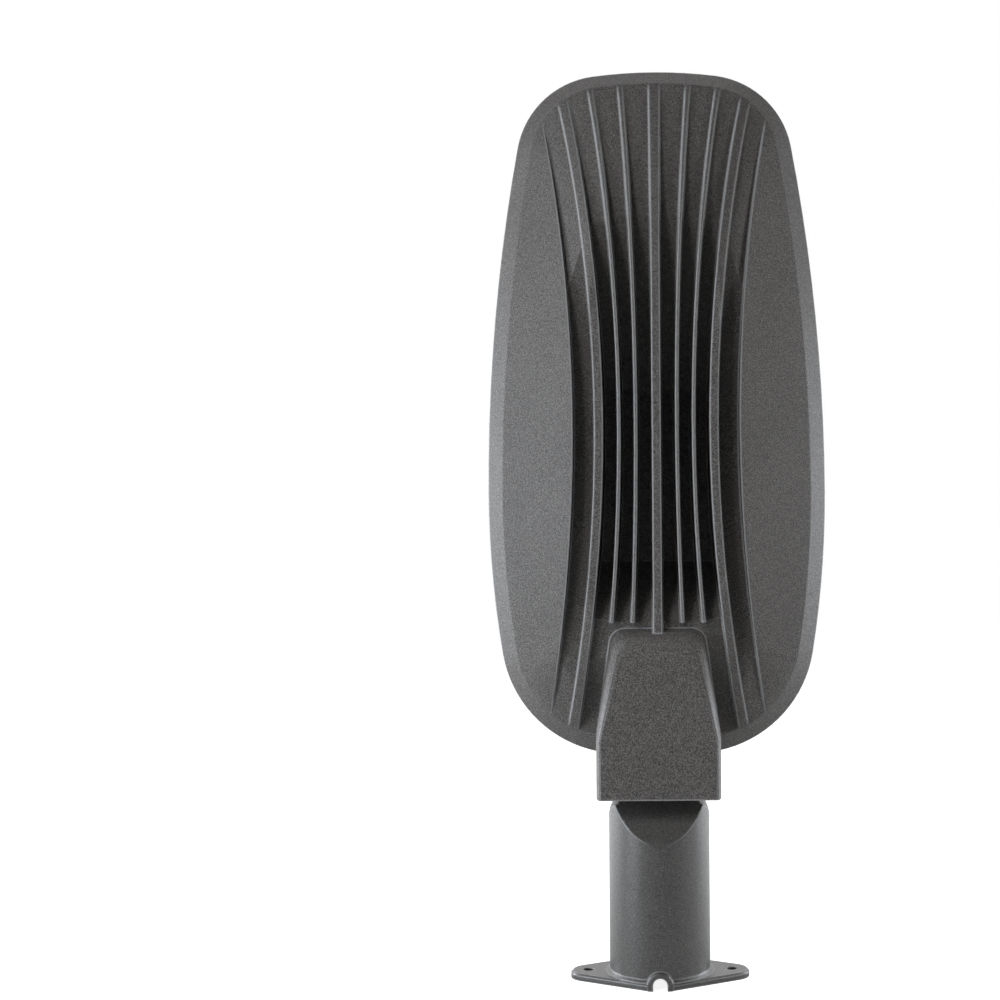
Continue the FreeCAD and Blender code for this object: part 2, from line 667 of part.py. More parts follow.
def lens_pad(x, z, y):
    """One square lens: a pad that tapers towards its face."""
    foot = LENS_SIZE / 2
    face = LENS_TOP_SIZE / 2
    return Part.makeWedge(x - foot, y - LENS_FLANGE_THICKNESS / 2, z - foot, z - face, x - face,
                          x + foot, y + LENS_HEIGHT, z + foot, z + face, x + face)


def lens_plate():
    """Clear plate with a lens over each LED and a flange under the frame."""
    seat_y, plate_y, frame_y, face_y = lens_stack()
    plate = led_bay_face_slab(plate_y, frame_y, BAY_INSET + PLATE_CLEARANCE)
    lenses = [lens_pad(x, z, frame_y) for x, z in led_places()]
    holes = [rod_y(x, z, SMALL_SCREW_D / 2 + SCREW_GAP, plate_y - 1, frame_y + 1)
             for x, z in lens_screw_places()]
    return plate.fuse(lenses).cut(holes).removeSplitter()


def ring_between(slab, y0, y1, outer, inner):
    """Flat ring between two insets of a bay's outline."""
    return slab(y0, y1, outer).cut(slab(y0 - 1, y1 + 1, inner))


def lens_gasket():
    """Flat rubber gasket under the lens plate, inside the row of screws."""
    seat_y, plate_y, frame_y, face_y = lens_stack()
    outer = BAY_INSET + SCREW_INSET + SMALL_SCREW_D / 2 + PLATE_CLEARANCE
    return ring_between(led_bay_face_slab, seat_y, plate_y, outer, BAY_INSET + BAY_STEP)


def lens_frame():
    """Metal frame that presses the lens plate down."""
    seat_y, plate_y, frame_y, face_y = lens_stack()
    outer = BAY_INSET + PLATE_CLEARANCE
    ring = ring_between(led_bay_face_slab, frame_y, face_y, outer, outer + FRAME_WIDTH)
    holes = [rod_y(x, z, SMALL_SCREW_D / 2 + SCREW_GAP, frame_y - 1, face_y + 1)
             for x, z in lens_screw_places()]
    return ring.cut(holes)


def led_board():
    """Metal-core board on the floor of the LED bay."""
    first_x, first_z = led_places()[0]
    last_x, last_z = led_places()[-1]
    top = LED_BAY_FLOOR_Y + BOARD_THICKNESS
    board = rounded_plate(first_x - BOARD_MARGIN, last_x + BOARD_MARGIN, LED_BAY_FLOOR_Y, top,
                          first_z - BOARD_MARGIN, last_z + BOARD_MARGIN, BOARD_MARGIN)
    holes = [rod_y(x, z, BOARD_SCREW_D / 2 + SCREW_GAP, LED_BAY_FLOOR_Y - 1, top + 1)
             for x, z in board_screw_places()]
    return board.cut(holes)


def led_packages():
    """One LED package under each lens."""
    y = LED_BAY_FLOOR_Y + BOARD_THICKNESS
    half = LED_SIZE / 2
    return Part.makeCompound([box(x - half, x + half, y, y + LED_HEIGHT, z - half, z + half)
                              for x, z in led_places()])


def driver_cover():
    """Cover of the driver bay, with a raised middle field and the vent's hole."""
    foot_y = LENS_SIDE_Y - COVER_THICKNESS
    plate = driver_bay_slab(foot_y, LENS_SIDE_Y, BAY_INSET + PLATE_CLEARANCE)
    field = driver_bay_slab(LENS_SIDE_Y - 1, LENS_SIDE_Y + COVER_RIB_HEIGHT, BAY_INSET + 2 * BAY_STEP)
    holes = [rod_y(x, z, SMALL_SCREW_D / 2 + SCREW_GAP, foot_y - 1, LENS_SIDE_Y + 1)
             for x, z in cover_screw_places()]
    holes.append(rod_y(VENT_X, VENT_Z, VENT_D / 2 + SCREW_GAP, foot_y - 1, LENS_SIDE_Y + OVERRUN))
    return plate.fuse(field).removeSplitter().cut(holes)


def driver_cover_gasket():
    """Rubber gasket under the driver cover, inside the row of screws."""
    top = LENS_SIDE_Y - COVER_THICKNESS
    outer = BAY_INSET + SCREW_INSET + SMALL_SCREW_D / 2 + PLATE_CLEARANCE
    return ring_between(driver_bay_slab, top - GASKET_THICKNESS, top, outer, BAY_INSET + BAY_STEP)


def vent_plug():
    """Breathing plug screwed into the driver cover."""
    y = LENS_SIDE_Y + COVER_RIB_HEIGHT + SEAT_GAP
    grip = COVER_THICKNESS + COVER_RIB_HEIGHT + 1.5
    head = hex_prism(Vec(VENT_X, y, VENT_Z), Y_DIR, VENT_HEAD, VENT_HEAD_HEIGHT)
    return head.fuse(rod_y(VENT_X, VENT_Z, VENT_D / 2, y - grip, y))


def driver():
    """LED driver: a low case with an ear at each end."""
    y0 = DRIVER_BAY_FLOOR_Y
    z = driver_z()
    half = DRIVER_LENGTH / 2
    case = rounded_plate(DRIVER_X - half, DRIVER_X + half, y0, y0 + DRIVER_DEPTH,
                         z - DRIVER_HEIGHT / 2, z + DRIVER_HEIGHT / 2, 2.5)
    reach = half + DRIVER_EAR
    ears = rounded_plate(DRIVER_X - reach, DRIVER_X + reach, y0, y0 + DRIVER_EAR_THICKNESS,
                         z - DRIVER_EAR, z + DRIVER_EAR, 2.0)
    holes = [rod_y(x, z, BOARD_SCREW_D / 2 + SCREW_GAP, y0 - 1, y0 + OVERRUN)
             for x, z in driver_screw_places()]
    return case.fuse(ears).cut(holes)


def terminal_block():
    """Terminal block for the supply leads, with a clamp well and a lead entry per way."""
    y0 = DRIVER_BAY_FLOOR_Y
    half = TERMINAL_LENGTH / 2
    pitch = TERMINAL_LENGTH / TERMINAL_WAYS
    z0 = TERMINAL_Z - TERMINAL_HEIGHT / 2
    body = rounded_plate(TERMINAL_X - half, TERMINAL_X + half, y0, y0 + TERMINAL_DEPTH,
                         z0, z0 + TERMINAL_HEIGHT, 1.0)
    wells = []
    for i in range(TERMINAL_WAYS):
        x = TERMINAL_X - half + pitch * (i + 0.5)
        well = pitch * 0.25
        wells.append(box(x - well, x + well, y0 + TERMINAL_DEPTH * 0.6, y0 + TERMINAL_DEPTH + 1,
                         TERMINAL_Z - well, TERMINAL_Z + well))
        wells.append(box(x - well, x + well, y0 + TERMINAL_DEPTH * 0.15, y0 + TERMINAL_DEPTH * 0.5,
                         z0 - 1, z0 + TERMINAL_HEIGHT / 4))
    return body.cut(wells)


def surge_protector():
    """Surge protector: a potted block beside the terminal block."""
    y0 = DRIVER_BAY_FLOOR_Y
    return rounded_plate(SURGE_X - SURGE_LENGTH / 2, SURGE_X + SURGE_LENGTH / 2, y0, y0 + SURGE_DEPTH,
                         SURGE_Z - SURGE_HEIGHT / 2, SURGE_Z + SURGE_HEIGHT / 2, 3.0)


def cable_gland():
    """Gland body below the partition: hexagon, smaller cap nut and the cable's way through."""
    z = NECK_CAVITY_TOP_Z
    seat = Vec(0, GLAND_Y, z)
    down = Vec(0, 0, -1)
    hexagon = hex_prism(seat, down, GLAND_HEX, GLAND_HEX_HEIGHT)
    cap = hex_prism(Vec(0, GLAND_Y, z - GLAND_HEX_HEIGHT), down, GLAND_CAP_HEX, GLAND_CAP_HEIGHT)
    thread_top = DRIVER_BAY_BOTTOM_Z + BAY_STEP + GLAND_NUT_HEIGHT + 1.5
    thread = Part.makeCylinder(GLAND_THREAD_D / 2, thread_top - z, seat, Z_DIR)
    foot_z = z - GLAND_HEX_HEIGHT - GLAND_CAP_HEIGHT - OVERRUN
    way = Part.makeCylinder(GLAND_CABLE_D / 2, thread_top + OVERRUN - foot_z, Vec(0, GLAND_Y, foot_z), Z_DIR)
    return hexagon.fuse([cap, thread]).cut(way)


def gland_nut():
    """Lock nut of the gland, inside the driver bay."""
    seat = Vec(0, GLAND_Y, DRIVER_BAY_BOTTOM_Z + BAY_STEP)
    nut = hex_prism(seat, Z_DIR, GLAND_HEX, GLAND_NUT_HEIGHT)
    return nut.cut(Part.makeCylinder(GLAND_THREAD_D / 2 + SCREW_GAP, 30, seat.sub(Vec(0, 0, 5)), Z_DIR))


def neck_cover():
    """Cover of the neck's window on the lens side."""
    half = NECK_COVER_WIDTH / 2
    top = HOOD_BACK_Y + NECK_COVER_THICKNESS
    plate = rounded_plate(-half, half, HOOD_BACK_Y, top, NECK_COVER_BOTTOM_Z, NECK_COVER_TOP_Z,
                          NECK_COVER_CORNER)
    holes = [rod_y(x, z, BOARD_SCREW_D / 2 + SCREW_GAP, HOOD_BACK_Y - 1, top + 1)
             for x, z in neck_screw_places()]
    return plate.cut(holes)


def sleeve_side_profile():
    """Outline seen along Y: full width, rounded shoulders, then the tongue."""
    half = SLEEVE_D / 2
    tongue = TONGUE_WIDTH / 2
    end = math.acos((tongue - half + SHOULDER_R) / SHOULDER_R)
    centre = Vec(half - SHOULDER_R, 0, SHOULDER_Z)
    corner = centre.add(Vec(SHOULDER_R * math.cos(end), 0, SHOULDER_R * math.sin(end)))
    middle = centre.add(Vec(SHOULDER_R * math.cos(end / 2), 0, SHOULDER_R * math.sin(end / 2)))
    top_z = PIVOT_Z + TONGUE_THICKNESS / 2
    points = [Vec(half, 0, 0), Vec(half, 0, SHOULDER_Z), middle, corner, Vec(tongue, 0, top_z)]
    mirror = [Vec(-p.x, 0, p.z) for p in points]
    edges = [Part.makeLine(points[0], points[1]), Part.Arc(points[1], middle, corner).toShape(),
             Part.makeLine(corner, points[4]), Part.makeLine(points[4], mirror[4]),
             Part.makeLine(mirror[4], mirror[3]), Part.Arc(mirror[3], mirror[2], mirror[1]).toShape(),
             Part.makeLine(mirror[1], mirror[0]), Part.makeLine(mirror[0], points[0])]
    face = Part.Face(Part.Wire(edges))
    face.translate(Vec(0, -SLEEVE_D, 0))
    return face.extrude(Vec(0, 2 * SLEEVE_D, 0))


def wedge_profile():
    """Outline seen along X: full depth, slanted cuts on both sides, then the rounded ears."""
    half = SLEEVE_D / 2
    tongue = TONGUE_THICKNESS / 2
    rise = (half - tongue) / math.tan(math.radians(WEDGE_ANGLE))
    front = [Vec(0, -half, 0), Vec(0, -half, WEDGE_FOOT_Z), Vec(0, -tongue, WEDGE_FOOT_Z + rise),
             Vec(0, -tongue, PIVOT_Z)]
    back = [Vec(0, -p.y, p.z) for p in reversed(front)]
    edges = [Part.makeLine(a, b) for a, b in zip(front[:-1], front[1:])]
    edges.append(Part.Arc(front[-1], Vec(0, 0, PIVOT_Z + tongue), back[0]).toShape())
    edges += [Part.makeLine(a, b) for a, b in zip(back[:-1], back[1:])]
    edges.append(Part.makeLine(back[-1], front[0]))
    face = Part.Face(Part.Wire(edges))
    face.translate(Vec(-SLEEVE_D, 0, 0))
    solid = face.extrude(Vec(2 * SLEEVE_D, 0, 0))
    foot = [e for e in solid.Edges if abs(e.BoundBox.ZMin - WEDGE_FOOT_Z) < 0.01
            and abs(e.BoundBox.ZMax - WEDGE_FOOT_Z) < 0.01]
    return solid.makeFillet(WEDGE_ROUND, foot)


def flange_face():
    """Eye-shaped outline of the wall flange: a lobe round each hole and two blunt noses."""
    lobe_x = FLANGE_LENGTH / 2 - FLANGE_LOBE_R
    nose_y = FLANGE_DEPTH / 2 - FLANGE_NOSE_R
    normal = tangent_normal(lobe_x, nose_y)
    a = Vec(lobe_x, 0, 0).add(Vec(normal).multiply(FLANGE_LOBE_R))
    b = Vec(0, nose_y, 0).add(Vec(normal).multiply(FLANGE_NOSE_R))
    flip_x = [Vec(-p.x, p.y, 0) for p in (a, b)]
    flip_y = [Vec(p.x, -p.y, 0) for p in (a, b)]
    flip_both = [Vec(-p.x, -p.y, 0) for p in (a, b)]
    edges = [Part.makeLine(a, b), Part.Arc(b, Vec(0, FLANGE_DEPTH / 2, 0), flip_x[1]).toShape(),
             Part.makeLine(flip_x[1], flip_x[0]),
             Part.Arc(flip_x[0], Vec(-FLANGE_LENGTH / 2, 0, 0), flip_both[0]).toShape(),
             Part.makeLine(flip_both[0], flip_both[1]),
             Part.Arc(flip_both[1], Vec(0, -FLANGE_DEPTH / 2, 0), flip_y[1]).toShape(),
             Part.makeLine(flip_y[1], flip_y[0]),
             Part.Arc(flip_y[0], Vec(FLANGE_LENGTH / 2, 0, 0), a).toShape()]
    return Part.Face(Part.Wire(edges))


def tangent_normal(lobe_x, nose_y):
    """Outward normal of the straight edge that touches a lobe and a nose."""
    span = math.hypot(lobe_x, nose_y)
    direction = Vec(-lobe_x / span, nose_y / span, 0)
    lean = math.asin((FLANGE_LOBE_R - FLANGE_NOSE_R) / span)
    side = Vec(nose_y / span, lobe_x / span, 0)
    return side.multiply(math.cos(lean)).add(direction.multiply(math.sin(lean)))


def notch_arch(width, height, y0, y1):
    """Arch-shaped prism along Y, standing on the wall side of the flange."""
    half = width / 2
    spring = height - half
    points = [Vec(half, y0, 0), Vec(half, y0, spring), Vec(0, y0, height), Vec(-half, y0, spring),
              Vec(-half, y0, 0)]
    wire = Part.Wire([Part.makeLine(points[0], points[1]),
                      Part.Arc(points[1], points[2], points[3]).toShape(),
                      Part.makeLine(points[3], points[4]), Part.makeLine(points[4], points[0])])
    return Part.Face(wire).extrude(Vec(0, y1 - y0, 0))


def spigot_sleeve():
    """Cast sleeve: wall flange, pole bore, wedge-cut top and the fork of the tilt joint."""
    half = SLEEVE_D / 2
    top_z = PIVOT_Z + TONGUE_THICKNESS
    tube = Part.makeCylinder(half, top_z).common(sleeve_side_profile()).common(wedge_profile())
    flange = flange_face().extrude(Vec(0, 0, FLANGE_THICKNESS))
    rim = [e for e in flange.Edges if e.BoundBox.ZMin > FLANGE_THICKNESS - 0.01]
    flange = flange.makeChamfer(FLANGE_THICKNESS * 0.3, rim)
    root = Part.makeCone(half + FLANGE_ROOT_R, half, FLANGE_ROOT_R, Vec(0, 0, FLANGE_THICKNESS))
    arch_y = NOTCH_RIM_SET_BACK - FLANGE_DEPTH / 2
    arch = notch_arch(NOTCH_WIDTH + 2 * NOTCH_RIM, NOTCH_HEIGHT + NOTCH_RIM, arch_y, 0)
    lip = [e for e in arch.Edges if e.BoundBox.YMax < arch_y + 0.01 and e.BoundBox.ZMax > 0.01]
    arch = arch.makeFillet(NOTCH_RIM_ROUND, lip)
    bosses = [rod_y(0, z, SET_BOSS_D / 2, 0, half + SET_BOSS_HEIGHT) for z in SET_SCREW_Z]
    body = tube.fuse([flange, root, arch] + bosses)
    bore = Part.makeCylinder(SLEEVE_BORE_D / 2, SLEEVE_BORE_DEPTH)
    gap = TONGUE_WIDTH / 2 - EAR_THICKNESS
    fork = box(-gap, gap, -SLEEVE_D, SLEEVE_D, FORK_FOOT_Z, top_z)
    way = Part.makeCylinder(CABLE_WAY_D / 2, top_z, Vec(CABLE_WAY_X, 0, 0))
    pivot = Part.makeCylinder(PIVOT_D / 2 + PIVOT_FIT, 2 * SLEEVE_D, Vec(-SLEEVE_D, 0, PIVOT_Z), X_DIR)
    notch = notch_arch(NOTCH_WIDTH, NOTCH_HEIGHT, -SLEEVE_D, -half / 2)
    screws = [rod_y(0, z, SET_SCREW_D / 2 + SCREW_GAP, half / 2, SLEEVE_D) for z in SET_SCREW_Z]
    holes = [Part.makeCylinder(FLANGE_HOLE_D / 2, 4 * FLANGE_THICKNESS,
                               Vec(side * FLANGE_HOLE_PITCH / 2, 0, -FLANGE_THICKNESS))
             for side in (-1, 1)]
    return body.cut([bore, fork, way, pivot, notch] + screws + holes).removeSplitter()


def pole_set_screws():
    """Hexagon screws that clamp the pole in the bore."""
    seat_y = SLEEVE_D / 2 + SET_BOSS_HEIGHT + SEAT_GAP
    grip = seat_y - SLEEVE_BORE_D / 2 - 0.5
    screws = []
    for z in SET_SCREW_Z:
        head = hex_prism(Vec(0, seat_y, z), Y_DIR, SET_SCREW_HEAD, SET_SCREW_HEAD_HEIGHT)
        screws.append(head.fuse(rod_y(0, z, SET_SCREW_D / 2, seat_y - grip, seat_y)))
    return Part.makeCompound(screws)


def pivot_screws():
    """Shoulder screws of the tilt joint, driven outwards from inside the fork."""
    seat_x = TONGUE_WIDTH / 2 - EAR_THICKNESS - WASHER_THICKNESS - SEAT_GAP
    return Part.makeCompound([shoulder_screw(Vec(side * seat_x, 0, PIVOT_Z), Vec(-side, 0, 0))
                              for side in (-1, 1)])


def pivot_washers():
    """Spring washers under the heads of the pivot screws."""
    ear_x = TONGUE_WIDTH / 2 - EAR_THICKNESS - SEAT_GAP / 2
    washers = []
    for side in (-1, 1):
        seat = Vec(side * ear_x, 0, PIVOT_Z)
        inward = Vec(-side, 0, 0)
        disc = Part.makeCylinder(WASHER_D / 2, WASHER_THICKNESS, seat, inward)
        washers.append(disc.cut(Part.makeCylinder(PIVOT_D / 2 + SCREW_GAP, WASHER_THICKNESS, seat, inward)))
    return Part.makeCompound(washers)


def show(name, shape):
    """Write one sub-part and print what it is made of."""
    if shape.ShapeType == "Compound" and len(shape.Solids) == 1:
        shape = shape.Solids[0]
    shape.exportStep("parts/" + name + ".step")
    print(name, len(shape.Solids), round(shape.Volume), shape.isValid())


def main():
    """Build every sub-part and write it."""
    os.makedirs("parts", exist_ok=True)
    seat_y, plate_y, frame_y, face_y = lens_stack()
    show("housing", housing())
    show("lens_plate", lens_plate())
    show("lens_gasket", lens_gasket())
    show("lens_frame", lens_frame())
    show("lens_screws", small_screws(lens_screw_places(), face_y, SEAT_DEPTH + SMALL_SCREW_GRIP - 1))
    show("led_board", led_board())
    show("led_packages", led_packages())
    show("board_screws", tiny_screws(board_screw_places(), LED_BAY_FLOOR_Y + BOARD_THICKNESS,
                                     BOARD_THICKNESS + BOARD_SCREW_GRIP - 0.5))
    show("driver_cover", driver_cover())
    show("driver_cover_gasket", driver_cover_gasket())
    show("driver_cover_screws", small_screws(cover_screw_places(), face_y,
                                             SEAT_DEPTH + SMALL_SCREW_GRIP - 1))
    show("vent_plug", vent_plug())
    show("driver", driver())
    show("driver_screws", tiny_screws(driver_screw_places(), DRIVER_BAY_FLOOR_Y + DRIVER_EAR_THICKNESS,
                                      DRIVER_EAR_THICKNESS + BOARD_SCREW_GRIP - 0.5))
    show("terminal_block", terminal_block())
    show("surge_protector", surge_protector())
    show("earth_screw", tiny_screws([(EARTH_X, EARTH_Z)], DRIVER_BAY_FLOOR_Y, BOARD_SCREW_GRIP - 0.5))
    show("cable_gland", cable_gland())
    show("gland_nut", gland_nut())
    show("neck_cover", neck_cover())
    show("neck_cover_screws", tiny_screws(neck_screw_places(), HOOD_BACK_Y + NECK_COVER_THICKNESS,
                                          NECK_COVER_THICKNESS + HOOD_WALL - 1.5))
    show("spigot_sleeve", spigot_sleeve())
    show("pole_set_screws", pole_set_screws())
    show("pivot_screws", pivot_screws())
    show("pivot_washers", pivot_washers())


main()
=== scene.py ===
import math

import bmesh
import bpy
import numpy as np
from mathutils import Matrix, Vector


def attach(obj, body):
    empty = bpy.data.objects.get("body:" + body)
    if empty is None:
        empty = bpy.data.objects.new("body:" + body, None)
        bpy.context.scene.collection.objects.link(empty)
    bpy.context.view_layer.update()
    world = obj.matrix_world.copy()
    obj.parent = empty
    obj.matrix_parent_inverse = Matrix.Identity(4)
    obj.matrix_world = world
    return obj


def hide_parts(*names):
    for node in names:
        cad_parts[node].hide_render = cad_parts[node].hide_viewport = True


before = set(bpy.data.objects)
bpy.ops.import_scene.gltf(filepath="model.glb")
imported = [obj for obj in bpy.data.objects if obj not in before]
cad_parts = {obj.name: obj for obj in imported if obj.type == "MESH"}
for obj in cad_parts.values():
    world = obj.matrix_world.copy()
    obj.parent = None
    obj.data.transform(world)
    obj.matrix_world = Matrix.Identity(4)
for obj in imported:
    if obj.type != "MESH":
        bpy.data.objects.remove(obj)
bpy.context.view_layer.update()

# Street light head with waisted cooling ribs, standing on the wall flange of its tilting
# spigot sleeve. Metres, +Z up along the sleeve, ribs towards -Y, lenses towards +Y.

MM = 0.001

# Camera: level, in front of the ribs. Distances are in metres; the focal length, column and row
# are in pixels of a frame of 1000 by 1000.
IMAGE_SIZE = 1000
FOCAL_PIXELS = 1507
SENSOR_MM = 36.0
CAMERA_DISTANCE = 0.900
CAMERA_HEIGHT = 0.266
AXIS_COLUMN = 657.0
HORIZON_ROW = 530
CAMERA_ROLL_DEG = -0.42

# Softboxes round the lamp: azimuth from the camera's side towards +X and elevation, in degrees;
# distance, width and height, in metres; the light they throw on a surface that faces them, 1
# being plain white; and their colour
LIGHT_TARGET = (0.0, 0.0, 0.30)
SOFTBOXES = {
    "key_left": (-62, 1, 1.15, 0.30, 0.70, 0.58, "f2f8ff"),
    "fill_right": (64, 9, 1.30, 0.36, 0.90, 0.28, "ffffff"),
    "front_high": (-36, 28, 1.40, 0.40, 0.42, 0.31, "ffffff"),
    "strip_left": (-114, 0, 0.90, 0.25, 0.45, 0.76, "f2f8ff"),
    "strip_right": (113, 0, 0.90, 0.25, 0.45, 0.68, "f2f8ff"),
    "back_soft": (180, 45, 1.60, 1.2, 1.0, 0.35, "ffffff"),
}

# Surroundings: the low even light on every surface, and the span towards +Y over which what a
# surface mirrors goes from that dark level to white, as a direction in the world and in metres
# on the floor
AMBIENT = 0.015
WORLD_SPAN = (-0.1, 0.3)
FLOOR_SPAN = (-0.05, 0.3)

# Floor, in metres: half its side, and the ring over which its white comes up from a faint shade
FLOOR_REACH = 8.0
SHADE_SPAN = (0.2, 0.7)
SHADE = 0.88

# Levels between which nearly all values of a noise lie
NOISE_LOW, NOISE_HIGH = 0.3, 0.7

# Powder coat: noise levels of its three tones; size of its slow clouds in millimetres, and how
# far they move the tone; cosines of an edge's turn between which the coat thins and takes a
# painted highlight, and how much of that lighter edge tone, part thinned coat and part painted
# highlight, shows there; swing of the roughness with the grain
GRAIN_LEVELS = (0.34, 0.50, 0.66)
CLOUD_MM = 45
CLOUD_TONE = (0.94, 1.06)
THINNING_HIGHLIGHT_TURN = (0.98, 0.93)
THINNING_HIGHLIGHT_SHARE = 0.82
COAT_SWING = 0.12

# Lens plate, in millimetres: rows and columns of lenses, and the outline it lies in
LENS_PITCH = (30.0, 29.84)
LENS_FIRST = (-45.0, 330.0)
LENS_COUNT = (4, 6)
LENS_HALF = 11.0
LENS_RISE = 4.6
LENS_DIP = 0.18
LENS_SADDLE = 0.3
LENS_HOLLOW = (6.0, 2.6)
PLATE_DEPTHS = (17.2, 19.6)
PLATE_FOOT_Z = 306.3
PLATE_TOP_Z = 531.9
PLATE_HALF_WIDTH = 91.85
PLATE_WIDEST_Z = 289.0
PLATE_SIDE_R = 1130.7
PLATE_CORNER = (30.1, 486.27, 43.7)
PLATE_CORNER_Z = (494.2, 529.6)
PLATE_END_R = 279.7

# Grid of the lens plate: steps across a lens, rows of the plain margins below and above the
# lenses, columns beside them, and the largest share of the width that the lenses' columns take
CELL_STEPS = 20
FOOT_ROWS = 6
HEAD_ROWS = 18
WING_COLUMNS = 6
CORE_SHARE = 0.85

# LED packages and breathing plug, in millimetres: seats along Y, and the plug's (x, z)
LED_SEAT_Y = 11.6
VENT_SEAT_Y = 23.25
VENT_PLACE = (48.0, 214.0)

# Hexagon-headed fixings, in millimetres: the CAD node that a set stands for, its body, its seat
# along Y, its size as (shank, grip, width across flats, head height) and its places as (x, z)
SMALL_SIZE = (3.5, 12.0, 6.0, 2.4)
FIXINGS = {
    "lens_fixings": ("lens_screws", "head", 22.05, SMALL_SIZE, (
        (-88.36, 309.6), (88.36, 309.6), (-76.17, 455.6), (76.17, 455.6),
        (-26.5, 527.38), (26.5, 527.38))),
    "cover_fixings": ("driver_cover_screws", "head", 22.05, SMALL_SIZE, (
        (-79.3, 185.6), (79.3, 185.6), (-88.54, 292.4), (88.54, 292.4))),
    "neck_fixings": ("neck_cover_screws", "head", 34.05, (3.0, 7.3, 5.5, 1.8), (
        (0.0, 120.5), (0.0, 171.5))),
    "board_fixings": ("board_screws", "head", 11.65, (3.0, 4.1, 5.5, 1.8), (
        (-30.0, 404.6), (30.0, 404.6))),
    "pole_fixings": ("pole_set_screws", "sleeve", 34.05, (8.0, 7.5, 13.0, 5.3), (
        (0.0, 24.0), (0.0, 60.0))),
}

# Points of a new piece that are nearer to each other than this, in metres, become one
MERGE_DISTANCE = 1e-7


def colour(code):
    """Linear RGBA of an sRGB hex colour."""
    parts = [int(code[i:i + 2], 16) / 255 for i in (0, 2, 4)]
    linear = [p / 12.92 if p <= 0.04045 else ((p + 0.055) / 1.055) ** 2.4 for p in parts]
    return (*linear, 1.0)


def add_node(tree, kind, settings=None, inputs=None, stops=()):
    """Add a node with its settings, inputs (a socket is linked, a value is set) and ramp stops."""
    node = tree.nodes.new(kind)
    for name, value in (settings or {}).items():
        setattr(node, name, value)
    for name, value in (inputs or {}).items():
        if isinstance(value, bpy.types.NodeSocket):
            tree.links.new(value, node.inputs[name])
        else:
            node.inputs[name].default_value = value
    for i, (position, code) in enumerate(stops):
        elements = node.color_ramp.elements
        element = elements[i] if i < 2 else elements.new(position)
        element.position = position
        element.color = colour(code)
    return node


def new_material(name, **values):
    """Empty material with a Principled shader, its constant values and the Object coordinates."""
    material = bpy.data.materials.new(name)
    material.use_nodes = True
    tree = material.node_tree
    tree.nodes.clear()
    shader = add_node(tree, "ShaderNodeBsdfPrincipled",
                      inputs={key.replace("_", " "): value for key, value in values.items()})
    add_node(tree, "ShaderNodeOutputMaterial", inputs={"Surface": shader.outputs["BSDF"]})
    place = add_node(tree, "ShaderNodeTexCoord").outputs["Object"]
    return material, tree, shader, place


def textured_powder_coat(name, tones, thinning_highlight_tone, grain_mm, bump_mm, edge_mm, rough, **values):
    """Fine-texture polyester powder coat, sprayed and baked on cast aluminium.

    It cures into a sandy skin, so it looks mottled from close up and scatters highlights widely.
    It goes on thinner over sharp cast edges, which it rounds and which look a little lighter; that
    lighter, cooler edge tone is also a painted highlight, standing in for the light the rounded
    edges catch. Its real grains, 0.2 to 0.3 mm wide, are drawn about twice as coarse, at one pixel
    of the frame, because they wouldn't show otherwise.
    """
    material, tree, shader, place = new_material(name, **values)
    grain = add_node(tree, "ShaderNodeTexNoise", inputs={
        "Vector": place, "Scale": 1 / (grain_mm * MM), "Detail": 2.0,
        "Roughness": 0.6}).outputs["Fac"]
    cloud = add_node(tree, "ShaderNodeTexNoise", inputs={
        "Vector": place, "Scale": 1 / (CLOUD_MM * MM), "Detail": 2.0}).outputs["Fac"]
    tone = add_node(tree, "ShaderNodeValToRGB", inputs={"Fac": grain},
                    stops=list(zip(GRAIN_LEVELS, tones)))
    patch = add_node(tree, "ShaderNodeMapRange", inputs={
        "Value": cloud, "From Min": NOISE_LOW, "From Max": NOISE_HIGH,
        "To Min": CLOUD_TONE[0], "To Max": CLOUD_TONE[1]})
    shade = add_node(tree, "ShaderNodeHueSaturation", inputs={
        "Value": patch.outputs["Result"], "Color": tone.outputs["Color"]})
    edge = add_node(tree, "ShaderNodeBevel", {"samples": 6},
                    {"Radius": edge_mm * MM}).outputs["Normal"]
    flat = add_node(tree, "ShaderNodeNewGeometry").outputs["Normal"]
    turn = add_node(tree, "ShaderNodeVectorMath", {"operation": "DOT_PRODUCT"}, {0: edge, 1: flat})
    # Near sharp edges the colour turns towards the lighter edge tone: part thinned coat, part
    # painted highlight
    thinning_highlight = add_node(tree, "ShaderNodeMapRange", inputs={
        "Value": turn.outputs["Value"], "From Min": THINNING_HIGHLIGHT_TURN[0], "From Max": THINNING_HIGHLIGHT_TURN[1],
        "To Max": THINNING_HIGHLIGHT_SHARE})
    thinning_highlight_colour = add_node(tree, "ShaderNodeMix", {"data_type": "RGBA"}, {
        0: thinning_highlight.outputs["Result"], 6: shade.outputs["Color"], 7: colour(thinning_highlight_tone)})
    gloss = add_node(tree, "ShaderNodeMapRange", inputs={
        "Value": grain, "To Min": rough + COAT_SWING, "To Max": rough - COAT_SWING})
    bump = add_node(tree, "ShaderNodeBump", inputs={
        "Strength": 0.8, "Distance": bump_mm * MM, "Height": grain, "Normal": edge})
    tree.links.new(thinning_highlight_colour.outputs[2], shader.inputs["Base Color"])
    tree.links.new(gloss.outputs["Result"], shader.inputs["Roughness"])
    tree.links.new(bump.outputs["Normal"], shader.inputs["Normal"])
    return material


